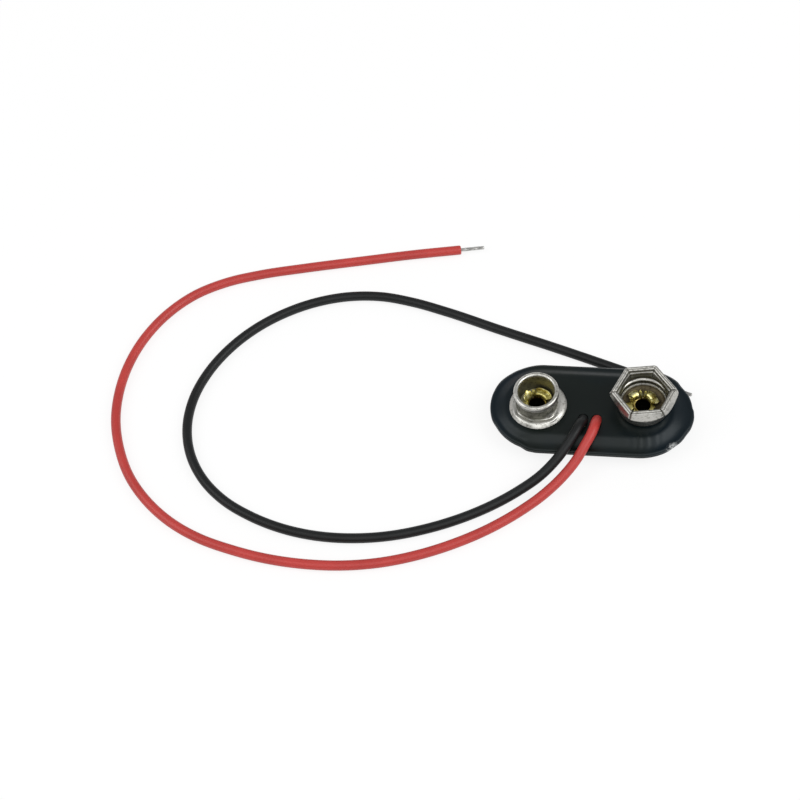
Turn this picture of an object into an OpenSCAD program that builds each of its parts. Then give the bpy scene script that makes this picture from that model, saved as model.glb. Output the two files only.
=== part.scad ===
// Battery snap: a soft two-sheet cover with a round stud contact, a six-leaf
// socket contact and two leads. Millimetres. The part lies on its back at z = 0,
// the long way of the cover along X, with the contacts pointing up.

/* [Cover] */
// Length of the cover over its round ends
cover_l = 24.1; // [22:0.1:30]
// Width of the cover
cover_w = 12.3; // [11.5:0.1:16]
// Thickness of the front sheet where it lies on the board
front_t = 0.6; // [0.4:0.05:1]
// Thickness of the back sheet under the eyelet heads
back_t = 0.5; // [0.3:0.05:0.8]
// Thickness of each sheet at the weld round the edge
rim_t = 0.4; // [0.3:0.05:0.5]
// Height of the weld above the surface that the part lies on
weld_z = 1.9; // [1.7:0.05:2]
// Depth of the groove between the shoulder and the edge bead
groove_d = 0.06; // [0.03:0.01:0.15]
// Width of the bead along the edge, from the groove outwards
bead_w = 0.5; // [0.45:0.05:0.8]
// How far outside the board the two sheets meet
weld_gap = 0.6; // [0.4:0.05:0.7]
// How far the flat of the back reaches past the heads of the eyelets
flat_out = 0.35; // [0.2:0.05:0.5]
// How far the rise of the back reaches past the board's edge
rise_out = 1; // [0.7:0.05:1.1]

/* [Mouth of the leads] */
// Length of the mouth, along the cover
mouth_l = 3.4; // [3.3:0.05:3.8]
// Width of the mouth
mouth_w = 2.9; // [2.8:0.05:3.2]
// Corner radius of the mouth
mouth_r = 0.4; // [0.2:0.05:0.5]
// Place of the mouth's middle along the cover
mouth_x = 0.1; // [0:0.05:0.2]
// How far the mouth's middle lies towards the front edge
mouth_off = 2; // [1.95:0.05:2.1]

/* [Board] */
// Thickness of the board that the contacts are clinched to
board_t = 1.1; // [0.8:0.1:1.5]
// Width of the board
board_w = 8; // [7:0.1:8.2]
// Length of the window that the leads run in
window_l = 7; // [6.9:0.1:7.4]
// Width of the window
window_w = 3.4; // [3.2:0.1:3.8]
// Corner radius of the window
window_r = 0.4; // [0.2:0.05:0.5]
// How far the window lies towards the front edge
window_off = 0.9; // [0.8:0.05:1]

/* [Contacts] */
// Distance between the contacts, as on a nine volt battery
pitch = 12.7; // [12.5:0.05:13]
// Turn of the line of the contacts against the cover, in degrees
contact_turn = 2.35; // [0:0.05:3]
// Thickness of the contacts' sheet metal
sheet_t = 0.25; // [0.15:0.01:0.3]

/* [Stud contact] */
// Radius of the stud over its rolled lip
stud_r = 2.72; // [2.5:0.01:2.9]
// Height of the stud above its seat
stud_h = 3.1; // [2.6:0.05:3.6]
// Width of the rolled lip, seen from above
lip_w = 0.56; // [0.5:0.01:0.7]
// Height of the straight band round the lip
lip_band = 0.3; // [0.1:0.05:0.5]
// Radius of the neck below the lip
neck_r = 2.38; // [2.3:0.01:2.4]
// Radius of the flange
flange_r = 3.5; // [3.4:0.05:3.8]
// Diameter of the rolled edge of the flange
flange_bead = 0.45; // [0.4:0.01:0.6]
// Radius of the fillet at the foot of the neck
neck_fillet = 0.5; // [0.2:0.05:0.6]

/* [Socket contact] */
// Height of the socket above its seat
socket_h = 3.45; // [3:0.05:4]
// Distance across two opposite leaves, outside
socket_af = 6.84; // [6.6:0.02:7.2]
// Width of a leaf's folded rim, seen from above
rim_fold = 0.62; // [0.6:0.01:0.75]
// Corner radius of the rim, where it folds over
rim_corner = 0.2; // [0.1:0.01:0.3]
// How far each leaf bulges inwards to grip
grip = 0.18; // [0.05:0.01:0.25]
// Width of the slit between two leaves
slit = 0.14; // [0.08:0.01:0.3]
// Outer radius of the cup below the leaves
cup_r = 3; // [2.9:0.01:3.02]
// Height of the cup
cup_h = 1.2; // [0.9:0.05:1.4]
// Corner radius of the cup
cup_corner = 0.15; // [0.05:0.05:0.2]
// Rise of the ledge from the cup to the feet of the leaves
ledge_rise = 0.35; // [0.2:0.05:0.5]
// How far the fold over the top of a leaf is pressed shut
fold_h = 0.5; // [0.45:0.05:0.7]
// How far the outer flap of a leaf hangs down
flap_h = 1.5; // [1:0.05:1.7]
// How much shorter the flap is at its ends
flap_drop = 1; // [0.6:0.05:1.1]
// Turn of the six leaves against the line of the contacts, in degrees
leaf_turn = 5.4; // [0:0.1:10]

/* [Eyelets] */
// Radius of the eyelet's head, inside the cover
head_r = 2.6; // [2.3:0.05:2.7]
// Thickness of the head
head_t = 0.3; // [0.2:0.05:0.4]
// Outer radius of the barrel
barrel_r = 1.25; // [1.1:0.05:1.35]
// Wall of the barrel
barrel_t = 0.24; // [0.15:0.01:0.3]
// Number of petals that the end of the barrel is split into
petals = 6; // [4:1:8]
// Width of the split between two petals
petal_gap = 0.3; // [0.1:0.05:0.5]
// How far the splits run down into the barrel
split_depth = 0.1; // [0.05:0.05:0.2]

/* [Leads] */
// Diameter of a lead over its insulation
lead_d = 1.2; // [1:0.05:1.2]
// Diameter of the bare tinned strand
strand_d = 0.45; // [0.3:0.05:0.6]
// Bare length at the free end
strip_l = 3; // [2:0.1:6]
// Thickness of the strand spread under an eyelet's head
spread_t = 0.4; // [0.3:0.05:0.5]
// Radius of the strand spread round the barrel
spread_r = 2.1; // [1.8:0.05:2.4]

/* [Fits] */
// Clearance between a barrel and the holes it goes through
hole_clear = 0.05; // [0.02:0.01:0.1]
// Clearance round the edge of the board
board_clear = 0.05; // [0.02:0.01:0.15]
// Clearance between the rolled petals and the inside of the stud
petal_clear = 0.16; // [0.1:0.01:0.3]

/* [Hidden] */
$fn = 64;

// The stack of layers, from the surface upwards
head_z = back_t;
spread_z = head_z + head_t;
board_z = spread_z + spread_t;
front_z = board_z + board_t;
seat_z = front_z + front_t;
clinch_z = seat_z + sheet_t;

// The cover's outline is a straight spine with everything measured outwards from it
spine = (cover_l - cover_w) / 2;
edge_u = cover_w / 2;
board_u = board_w / 2;
pocket_u = board_u + board_clear;
weld_u = pocket_u + weld_gap;
edge_r = rim_t / 2;

barrel_hole_r = barrel_r + hole_clear;
stud_bore = stud_r - lip_w;
petal_reach = stud_bore - petal_clear;
over = 1;
arc_n = 6;

// Where each lead goes, from its end inside the cover to its cut end
red_route = [
    [3.4, -0.03, 1.12], [3.1, -0.06, 1.12], [2.45, -0.19, 1.18], [1.87, -0.45, 1.36],
    [1.42, -0.8, 1.63], [1.1, -1.24, 2], [0.93, -1.74, 2.44], [0.85, -2.35, 2.99],
    [0.77, -3.05, 3.45], [0.62, -3.85, 3.66], [0.35, -4.65, 3.57], [-0.18, -5.68, 3.2],
    [-1.1, -7.4, 2.5],
    [-2.6, -9.4, 1.75], [-4.7, -11.6, 1.1], [-7.4, -13.9, 0.7], [-10.8, -16.4, 0.6],
    [-14.6, -18.6, 0.6], [-18.7, -20.4, 0.6], [-23, -21.7, 0.6], [-27.5, -22.4, 0.6],
    [-32, -22.5, 0.6], [-36.5, -22.1, 0.6], [-40.9, -21.2, 0.6], [-45.1, -19.9, 0.6],
    [-49, -17.9, 0.6], [-52.4, -15.2, 0.6], [-55.2, -11.9, 0.6], [-57.2, -8.1, 0.6],
    [-58.5, -4, 0.6], [-58.9, 0.2, 0.6], [-58.5, 4.4, 0.6], [-57.2, 8.6, 0.6],
    [-55, 12.4, 0.6], [-51.9, 15.6, 0.6], [-48.1, 17.8, 0.6], [-44, 19.2, 0.6],
    [-38.1, 20.6, 0.6], [-30.9, 22.1, 0.6], [-24.5, 23.4, 0.6], [-18.2, 24.5, 0.6]];
black_route = [
    [-3.4, -0.26, 1.12], [-3.1, -0.26, 1.12], [-2.4, -0.34, 1.19], [-1.76, -0.56, 1.4],
    [-1.24, -0.91, 1.72], [-0.88, -1.36, 2.13], [-0.71, -1.87, 2.59], [-0.75, -2.38, 3.06],
    [-0.92, -2.94, 3.44], [-1.16, -3.6, 3.66], [-1.5, -4.45, 3.62], [-2.18, -5.65, 3.22],
    [-3.38, -7.4, 2.5],
    [-5.2, -9.4, 1.75], [-7.8, -11.4, 1.1], [-10.9, -13.4, 0.7], [-14.4, -15.3, 0.6],
    [-18.2, -16.9, 0.6], [-22.3, -18.1, 0.6], [-26.5, -18.7, 0.6], [-30.8, -18.7, 0.6],
    [-35.1, -18, 0.6], [-39.2, -16.6, 0.6], [-42.9, -14.6, 0.6], [-46, -11.8, 0.6],
    [-48.2, -8.3, 0.6], [-49.3, -4.3, 0.6], [-49.2, -0.2, 0.6], [-48, 3.8, 0.6],
    [-45.9, 7.5, 0.6], [-43.1, 10.7, 0.6], [-39.7, 13.3, 0.6], [-35.9, 15.2, 0.6],
    [-31.8, 16.3, 0.6], [-27.6, 16.5, 0.6], [-23.4, 15.8, 0.6], [-18.9, 14.5, 0.6],
    [-12, 12.1, 0.6], [-4.8, 9.7, 0.6], [2.3, 7.2, 0.6], [9.2, 4.7, 0.6]];

function unit(v) = v / norm(v);

// Points along an arc, and along an S-shaped fall from one point to another
function arc(c, r, a0, a1, n = arc_n) =
    [for (i = [0:n]) let(a = a0 + (a1 - a0) * i / n) c + r * [cos(a), sin(a)]];
function fall(a, b, n = 10) =
    [for (i = [0:n]) [a.x + (b.x - a.x) * i / n, a.y + (b.y - a.y) * (1 - cos(180 * i / n)) / 2]];

// A tube swept along a route: each ring is square to the route, with a flat below
function heading(route, i) =
    unit(route[min(i + 1, len(route) - 1)] - route[max(i - 1, 0)]);
function ring(p, t, r, n) =
    let(side = unit(cross(t, [0, 0, 1])), up = cross(side, t))
    [for (j = [0:n - 1]) let(a = (j + 0.5) * 360 / n) p + r / cos(180 / n) * (cos(a) * side + sin(a) * up)];
module sweep(route, r, n = 8) {
    last = len(route) - 1;
    points = [for (i = [0:last]) each ring(route[i], heading(route, i), r, n)];
    walls = [for (i = [0:last - 1]) for (j = [0:n - 1])
        [i * n + j, i * n + (j + 1) % n, (i + 1) * n + (j + 1) % n, (i + 1) * n + j]];
    caps = [[for (j = [n - 1:-1:0]) j], [for (j = [0:n - 1]) last * n + j]];
    polyhedron(points, concat(walls, caps));
}

// A round rod that starts at a point and goes on in a direction
module rod(start, dir, l, r) {
    u = unit(dir);
    translate(start)
        rotate([0, acos(u.z), atan2(u.y, u.x)])
            cylinder(h = l, r = r);
}

// A profile carried round a straight spine: u is the distance from it, z the height
module racetrack(profile) {
    translate([-spine, 0, 0])
        rotate([90, 0, 90])
            linear_extrude(2 * spine) {
                polygon(profile);
                mirror([1, 0]) polygon(profile);
            }
    for (side = [0, 180])
        rotate([0, 0, side])
            translate([spine, 0, 0])
                rotate([0, 0, -90])
                    rotate_extrude(angle = 180)
                        polygon(profile);
}

module stadium(u) {
    square([2 * spine, 2 * u], center = true);
    for (x = [-spine, spine])
        translate([x, 0]) circle(u);
}

module rounded(l, w, r) {
    square([l, w - 2 * r], center = true);
    square([l - 2 * r, w], center = true);
    for (x = [-1, 1], y = [-1, 1])
        translate([x * (l / 2 - r), y * (w / 2 - r)]) circle(r);
}

// side is -1 for the stud and 1 for the socket
function contact_at(side, z) =
    [side * pitch / 2 * cos(contact_turn), side * pitch / 2 * sin(contact_turn), z];
module at_contact(side, z) {
    translate(contact_at(side, z)) rotate([0, 0, contact_turn]) children();
}

module barrel_holes(z, t) {
    for (side = [-1, 1])
        at_contact(side, z - over) cylinder(h = t + 2 * over, r = barrel_hole_r);
}

// A slot with round corners through a sheet of thickness t
module slot(x, y, z, t, l, w, r) {
    translate([x, y, z - over])
        linear_extrude(t + 2 * over) rounded(l, w, r);
}

// Front sheet: flat over the board, a shoulder, a groove and a bead at the weld
module front_cover() {
    groove_u = edge_u - bead_w;
    bead_z = weld_z + rim_t;
    groove_z = bead_z - groove_d;
    profile = concat(
        [[0, front_z], [pocket_u, front_z], [weld_u, weld_z], [edge_u, weld_z]],
        arc([edge_u - edge_r, bead_z - edge_r], edge_r, 0, 75, 4),
        fall([edge_u - edge_r, bead_z], [groove_u, groove_z], 8),
        fall([groove_u, groove_z], [board_u, seat_z]),
        [[0, seat_z]]);
    color("#23282b")
        difference() {
            racetrack(profile);
            barrel_holes(front_z, front_t);
            slot(mouth_x, -mouth_off, front_z, front_t, mouth_l, mouth_w, mouth_r);
        }
}

// Back sheet: flat under the heads of both eyelets, then it rises to the weld
module back_cover() {
    head_at = contact_at(1, 0);
    flat_u = max(head_at.x + head_r - spine, head_at.y + head_r) + flat_out;
    rim_z = weld_z - rim_t;
    profile = concat(
        [[0, 0]],
        fall([flat_u, 0], [board_u + rise_out, rim_z], 8),
        arc([edge_u - edge_r, rim_z + edge_r], edge_r, -90, 0, 4),
        [[edge_u, weld_z], [weld_u, weld_z]],
        fall([pocket_u, board_z], [flat_u, back_t], arc_n),
        [[0, back_t]]);
    color("#1c2023") racetrack(profile);
}

// Board: a strip with a hole for each eyelet and a window for the leads
module insulator_board() {
    color("#8a5a3a")
        difference() {
            translate([0, 0, board_z]) linear_extrude(board_t) stadium(board_u);
            barrel_holes(board_z, board_t);
            slot(0, -window_off, board_z, board_t, window_l, window_w, window_r);
        }
}

// Stud: one drawn piece, turned round its axis
module stud_contact() {
    lip_r = lip_w / 2;
    lip_c = stud_r - lip_r;
    band_top = stud_h - lip_r;
    band_low = band_top - lip_band;
    bead_r = flange_bead / 2;
    profile = concat(
        [[barrel_hole_r, 0]],
        arc([flange_r - bead_r, bead_r], bead_r, -90, 170, 10),
        arc([neck_r + neck_fillet, sheet_t + neck_fillet], neck_fillet, 270, 180),
        [[neck_r, band_low - lip_r]],
        arc([lip_c, band_low], lip_r, -75, 0, 5),
        arc([lip_c, band_top], lip_r, 0, 180, 10),
        arc([petal_reach, sheet_t + petal_clear], petal_clear, 0, -90, 4),
        [[barrel_hole_r, sheet_t]]);
    color("#c9c6bd") at_contact(-1, seat_z) rotate_extrude() polygon(profile);
}

// One leaf of the socket, pointing along X: a springy wall folded out over its top
module leaf() {
    out_a = socket_af / 2;
    in_a = out_a - rim_fold;
    foot_z = cup_h + ledge_rise - sheet_t;
    fold_z = socket_h - rim_corner;
    wall_n = 8;
    inner = [for (i = [0:wall_n])
        [in_a - grip * (1 - cos(360 * i / wall_n)) / 2, foot_z + (fold_z - foot_z) * i / wall_n]];
    outer = [for (i = [wall_n:-1:0]) inner[i] + [sheet_t, 0]];
    fold = concat(arc([in_a + rim_corner, fold_z], rim_corner, 180, 90),
        arc([out_a - rim_corner, fold_z], rim_corner, 90, 0),
        [[out_a, socket_h - fold_h], [in_a, socket_h - fold_h]]);
    reach = out_a + over;
    half = out_a * tan(30) - slit;
    flap_r = (half * half + flap_drop * flap_drop) / (2 * flap_drop);
    intersection() {
        linear_extrude(socket_h + over)
            polygon([[0, 0], [reach, reach * tan(30) - slit / 2], [reach, slit / 2 - reach * tan(30)]]);
        rotate([90, 0, 0])
            linear_extrude(2 * out_a, center = true)
                union() {
                    polygon(concat(inner, outer));
                    polygon(fold);
                }
    }
    translate([0, 0, fold_z - flap_h])
        intersection() {
            translate([out_a - sheet_t, -half, 0]) cube([sheet_t, 2 * half, flap_h]);
            translate([0, 0, flap_r]) rotate([0, 90, 0]) cylinder(h = reach, r = flap_r);
        }
}

// Socket: a drawn cup with six leaves standing on its ledge
module socket_contact() {
    in_r = cup_r - sheet_t;
    ledge_r = socket_af / 2 - rim_fold + sheet_t;
    cup = [
        [barrel_hole_r, 0], [cup_r - cup_corner, 0], [cup_r, cup_corner], [cup_r, cup_h - sheet_t],
        [ledge_r, cup_h + ledge_rise - sheet_t], [ledge_r, cup_h + ledge_rise], [in_r, cup_h],
        [in_r, sheet_t + cup_corner], [in_r - cup_corner, sheet_t], [barrel_hole_r, sheet_t]];
    color("#c9c6bd")
        at_contact(1, seat_z) {
            rotate_extrude() polygon(cup);
            for (i = [0:5])
                rotate([0, 0, leaf_turn + 30 + 60 * i]) leaf();
        }
}

// Eyelet: a head inside, a barrel through all layers, and petals rolled over the contact
module eyelet(turn) {
    bore_r = barrel_r - barrel_t;
    roll_r = (petal_reach - bore_r) / 2;
    roll_c = [bore_r + roll_r, clinch_z];
    profile = concat(
        [[bore_r, head_z], [head_r, head_z], [head_r, spread_z], [barrel_r, spread_z]],
        arc(roll_c, roll_r - barrel_t, 180, 0, 8),
        arc(roll_c, roll_r, 0, 180, 10));
    color("#c2a24a")
        difference() {
            rotate_extrude() polygon(profile);
            for (i = [0:petals - 1])
                rotate([0, 0, turn + 360 / petals * i])
                    translate([0, -petal_gap / 2, clinch_z - split_depth])
                        cube([petal_reach + over, petal_gap, roll_r + over]);
        }
}

module stud_eyelet() {
    at_contact(-1, 0) eyelet(12);
}

module socket_eyelet() {
    at_contact(1, 0) eyelet(38);
}

module red_lead() {
    color("#c8423c") sweep(red_route, lead_d / 2);
}

module black_lead() {
    color("#2a2c2e") sweep(black_route, lead_d / 2);
}

// Bare end of a lead: it goes on from the lead's last stretch
module tip(route) {
    last = len(route) - 1;
    color("#b9bbb8") rod(route[last], route[last] - route[last - 1], strip_l, strand_d / 2);
}

module red_tip() {
    tip(red_route);
}

module black_tip() {
    tip(black_route);
}

// Strand spread round a barrel, clamped between the eyelet's head and the board, with a
// flattened tail that runs from the end of the lead
module strand(side, route) {
    start = [route[0].x, route[0].y, spread_z];
    way = contact_at(side, spread_z) - start;
    tail_l = norm(way) - (barrel_hole_r + spread_r) / 2;
    color("#b9bbb8")
        difference() {
            union() {
                at_contact(side, spread_z) cylinder(h = spread_t, r = spread_r);
                translate(start)
                    rotate([0, 0, atan2(way.y, way.x)])
                        translate([0, -strand_d / 2, 0]) cube([tail_l, strand_d, spread_t]);
            }
            at_contact(side, spread_z - over) cylinder(h = spread_t + 2 * over, r = barrel_hole_r);
        }
}

module red_strand() {
    strand(1, red_route);
}

module black_strand() {
    strand(-1, black_route);
}

front_cover();
back_cover();
insulator_board();
stud_contact();
socket_contact();
stud_eyelet();
socket_eyelet();
red_lead();
black_lead();
red_tip();
black_tip();
red_strand();
black_strand();
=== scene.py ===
# %% [markdown]
# # A battery snap, dressed for its picture
#
# The object is the small connector that clips onto a nine volt battery: a soft black vinyl cover,
# a round stud and a six-leaf socket clinched to it with brass eyelets, and two thin leads that lie
# in loops on the table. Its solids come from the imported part, which is loaded first and is never
# moved. Every cell below makes one piece as a surface worked out with numpy, in millimetres, and
# lays it over the solid that it stands for.

# %% Load the part
import math

import bpy
import numpy as np
from mathutils import Matrix, Vector
from mathutils.geometry import delaunay_2d_cdt


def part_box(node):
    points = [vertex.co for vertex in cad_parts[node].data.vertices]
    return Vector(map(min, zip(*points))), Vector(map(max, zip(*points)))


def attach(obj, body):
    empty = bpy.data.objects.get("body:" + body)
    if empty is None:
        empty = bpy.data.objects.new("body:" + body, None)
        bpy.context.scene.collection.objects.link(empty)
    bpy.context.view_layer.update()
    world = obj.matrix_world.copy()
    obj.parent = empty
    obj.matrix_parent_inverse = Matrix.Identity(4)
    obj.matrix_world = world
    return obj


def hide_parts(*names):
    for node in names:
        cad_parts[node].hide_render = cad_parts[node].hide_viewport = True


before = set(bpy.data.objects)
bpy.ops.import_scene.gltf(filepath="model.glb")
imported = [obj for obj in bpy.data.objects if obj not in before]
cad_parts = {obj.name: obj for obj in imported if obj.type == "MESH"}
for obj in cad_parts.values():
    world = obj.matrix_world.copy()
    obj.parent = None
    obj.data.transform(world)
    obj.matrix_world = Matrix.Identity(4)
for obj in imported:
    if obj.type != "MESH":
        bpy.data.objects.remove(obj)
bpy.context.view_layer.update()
MM = 0.001
print("nodes:", sorted(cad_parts))

# %% [markdown]
# ## The camera
#
# The photo looks down on the snap at 56 degrees, turned 15 degrees to the right and rolled by
# almost 10. Those angles, and the distance, come from the known 12.7 mm between the contacts. The
# camera is placed by angles and not by pointing it at a target, because the object isn't in the
# middle of the photo.

# %% Camera
def camera_axes(azimuth, elevation, roll):
    """Right, up and backward directions of a camera that looks down at an elevation.
    Backward is (sin a cos e, -cos a cos e, sin e); the roll turns right and up about it."""
    a, e, r = np.radians([azimuth, elevation, roll])
    backward = np.array([np.sin(a) * np.cos(e), -np.cos(a) * np.cos(e), np.sin(e)])
    level = np.array([np.cos(a), np.sin(a), 0.0])
    steep = np.cross(backward, level)
    right = np.cos(r) * level + np.sin(r) * steep
    up = -np.sin(r) * level + np.cos(r) * steep
    return right, up, backward


def placed(name, data, axes, where):
    """A camera or lamp, put at a place in metres and turned to its three axes."""
    turn = np.eye(4)
    turn[:3, :3] = np.stack(axes, axis=1)
    turn[:3, 3] = where
    item = bpy.data.objects.new(name, data)
    item.matrix_world = Matrix(turn.tolist())
    bpy.context.scene.collection.objects.link(item)
    return item


AIM = np.array([0.0, 0.0, 2.9])
AZIMUTH, ELEVATION, ROLL = 15.02, 56.16, -9.79
DISTANCE = 221.63
ASIDE, ALOFT = 22.77, -0.64
right, up, backward = camera_axes(AZIMUTH, ELEVATION, ROLL)
place = AIM + DISTANCE * backward - ASIDE * right - ALOFT * up
lens = bpy.data.cameras.new("view")
lens.lens = 83.25
lens.sensor_width = 36
lens.clip_start, lens.clip_end = 0.01, 20
bpy.context.scene.camera = placed("view", lens, (right, up, backward), place * MM)
print("camera at", np.round(place, 1), "mm")

# %% [markdown]
# ## From arrays to pieces
#
# A surface is a grid of points, rows by columns. Two helpers turn grids into faces and put a
# finished mesh into the scene. Each piece keeps its object at the origin and holds its place in
# its points, as the solids of the part do.

# %% Grid faces and the piece maker
def unit(v):
    """Vectors scaled to length 1."""
    return v / np.maximum(np.linalg.norm(v, axis=-1, keepdims=True), 1e-12)


def full_turn(count):
    """Angles of count even steps round a circle."""
    return np.arange(count) * 2 * np.pi / count


def grid_faces(rows, cols, wrap_rows=False, wrap_cols=False):
    """Quads over a grid of rows x cols points, numbered row by row."""
    r = np.arange(rows if wrap_rows else rows - 1)[:, None]
    c = np.arange(cols if wrap_cols else cols - 1)[None, :]
    r1, c1 = (r + 1) % rows, (c + 1) % cols
    quads = np.stack([r * cols + c, r * cols + c1, r1 * cols + c1, r1 * cols + c], axis=-1)
    return quads.reshape(-1, 4)


def joined(parts):
    """One list of points and one of faces out of several (points, faces) parts."""
    points, faces, count = [], [], 0
    for p, f in parts:
        points.append(p.reshape(-1, 3))
        faces.extend([group + count for group in f])
        count += p.reshape(-1, 3).shape[0]
    return np.concatenate(points), faces


def make_piece(name, parts, finish, stands_for, sharp=35, uv=None):
    """A smooth-shaded mesh object out of (points in mm, faces) parts, riding on the part in
    place of the solid that it stands for. Edges bent by more than sharp degrees stay sharp."""
    points, faces = joined(parts)
    mesh = bpy.data.meshes.new(name)
    mesh.from_pydata((points * MM).tolist(), [], [q for group in faces for q in group.tolist()])
    mesh.validate()
    mesh.polygons.foreach_set("use_smooth", np.ones(len(mesh.polygons), bool))
    if uv is not None:
        corners = np.zeros(len(mesh.loops), int)
        mesh.loops.foreach_get("vertex_index", corners)
        layer = mesh.uv_layers.new(name="UVMap")
        layer.data.foreach_set("uv", uv.reshape(-1, 2)[corners].ravel())
    mesh.set_sharp_from_angle(angle=math.radians(sharp))
    mesh.materials.append(finish)
    piece = bpy.data.objects.new(name, mesh)
    bpy.context.scene.collection.objects.link(piece)
    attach(piece, "root")
    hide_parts(stands_for)
    print(name, len(mesh.vertices), "points,", len(mesh.polygons), "faces")
    return piece


# %% [markdown]
# ## Finishes: a short kit of shader parts
#
# Every material is built from the same few moves: a noise on Object coordinates, a ramp that turns
# it into colour, a range that turns it into roughness, and a bump. Numbers that are the same all
# over a surface go straight onto the shader's own sockets.

# %% Shader helpers
def new_finish(name, colour, roughness, metallic=0.0):
    """A material with a Principled shader, its colour, roughness and metallic set."""
    finish = bpy.data.materials.new(name)
    finish.use_nodes = True
    shader = finish.node_tree.nodes["Principled BSDF"]
    shader.inputs["Base Color"].default_value = (*colour, 1)
    shader.inputs["Roughness"].default_value = roughness
    shader.inputs["Metallic"].default_value = metallic
    print("finish:", name)
    return finish, finish.node_tree, shader


def add_node(tree, kind, inputs=None, **settings):
    """One node with its settings, and its inputs by name: a socket to link or a value."""
    node = tree.nodes.new(kind)
    for key, value in settings.items():
        setattr(node, key, value)
    for key, value in (inputs or {}).items():
        if isinstance(value, bpy.types.NodeSocket):
            tree.links.new(value, node.inputs[key])
        else:
            node.inputs[key].default_value = value
    return node


def coordinates(tree, output="Object", centre=(0, 0, 0), scale=(1, 1, 1)):
    """Coordinates of the surface, moved so that centre is at zero, then stretched."""
    source = add_node(tree, "ShaderNodeTexCoord").outputs[output]
    shift = tuple(-c * s for c, s in zip(centre, scale))
    inputs = {"Vector": source, "Location": shift, "Scale": scale}
    return add_node(tree, "ShaderNodeMapping", inputs).outputs[0]


def noise(tree, where, scale, detail=3.0, roughness=0.55):
    """A grey noise from 0 to 1."""
    inputs = {"Vector": where, "Scale": scale, "Detail": detail, "Roughness": roughness}
    return add_node(tree, "ShaderNodeTexNoise", inputs).outputs["Fac"]


def ramp(tree, value, stops):
    """A colour ramp; each stop is (position, colour)."""
    node = add_node(tree, "ShaderNodeValToRGB", {"Fac": value})
    elements = node.color_ramp.elements
    while len(elements) < len(stops):
        elements.new(0.5)
    for element, (position, colour) in zip(elements, stops):
        element.position = position
        element.color = (*colour, 1)
    return node.outputs["Color"]


def remap(tree, value, low, high, first=0.0, last=1.0):
    """A value that runs from first to last, stretched to run from low to high."""
    inputs = {"Value": value, "From Min": first, "From Max": last, "To Min": low, "To Max": high}
    return add_node(tree, "ShaderNodeMapRange", inputs).outputs[0]


def maths(tree, operation, *values):
    """A sum, product or the like of values, each a socket or a number."""
    inputs = dict(enumerate(values))
    return add_node(tree, "ShaderNodeMath", inputs, operation=operation).outputs[0]


def vectors(tree, operation, *values):
    """The same for vectors and colours."""
    inputs = dict(enumerate(values))
    outputs = add_node(tree, "ShaderNodeVectorMath", inputs, operation=operation).outputs
    return outputs["Value" if operation in ("LENGTH", "DISTANCE") else "Vector"]


def split(tree, vector):
    """The X, Y and Z of a vector, by name."""
    return add_node(tree, "ShaderNodeSeparateXYZ", {"Vector": vector}).outputs


def paint(tree, shader, colour, roughness):
    """Lets a colour and a roughness that vary drive the shader."""
    tree.links.new(colour, shader.inputs["Base Color"])
    tree.links.new(roughness, shader.inputs["Roughness"])


def bump(tree, shader, height, strength, distance):
    """Bump on the shader from a height of 0 to 1; distance is its depth in metres."""
    inputs = {"Height": height, "Strength": strength, "Distance": distance}
    node = add_node(tree, "ShaderNodeBump", inputs)
    tree.links.new(node.outputs[0], shader.inputs["Normal"])


# %% [markdown]
# ## The leads
#
# Each lead is a limp stranded wire, 1.2 mm over its insulation, and a fixed length: it starts at
# its eyelet inside the cover, comes up through the mouth, drops over the front edge and lies in a
# loop on the table. A curve object would do, but a mesh tube gives each lead its own map along its
# length, so that the faint drawn lines of the insulation follow every bend. The points are those
# that the part's own solids follow.

# %% The route of each lead, in millimetres
RED_ROUTE = np.array([
    [3.4, -0.03, 1.12], [3.1, -0.06, 1.12], [2.45, -0.19, 1.18], [1.87, -0.45, 1.36],
    [1.42, -0.8, 1.63], [1.1, -1.24, 2], [0.93, -1.74, 2.44], [0.85, -2.35, 2.99],
    [0.77, -3.05, 3.45], [0.62, -3.85, 3.66], [0.35, -4.65, 3.57], [-0.18, -5.68, 3.2],
    [-1.1, -7.4, 2.5], [-2.6, -9.4, 1.75], [-4.7, -11.6, 1.1], [-7.4, -13.9, 0.7],
    [-10.8, -16.4, 0.6], [-14.6, -18.6, 0.6], [-18.7, -20.4, 0.6], [-23, -21.7, 0.6],
    [-27.5, -22.4, 0.6], [-32, -22.5, 0.6], [-36.5, -22.1, 0.6], [-40.9, -21.2, 0.6],
    [-45.1, -19.9, 0.6], [-49, -17.9, 0.6], [-52.4, -15.2, 0.6], [-55.2, -11.9, 0.6],
    [-57.2, -8.1, 0.6], [-58.5, -4, 0.6], [-58.9, 0.2, 0.6], [-58.5, 4.4, 0.6],
    [-57.2, 8.6, 0.6], [-55, 12.4, 0.6], [-51.9, 15.6, 0.6], [-48.1, 17.8, 0.6],
    [-44, 19.2, 0.6], [-38.1, 20.6, 0.6], [-30.9, 22.1, 0.6], [-24.5, 23.4, 0.6],
    [-18.2, 24.5, 0.6]])
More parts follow.
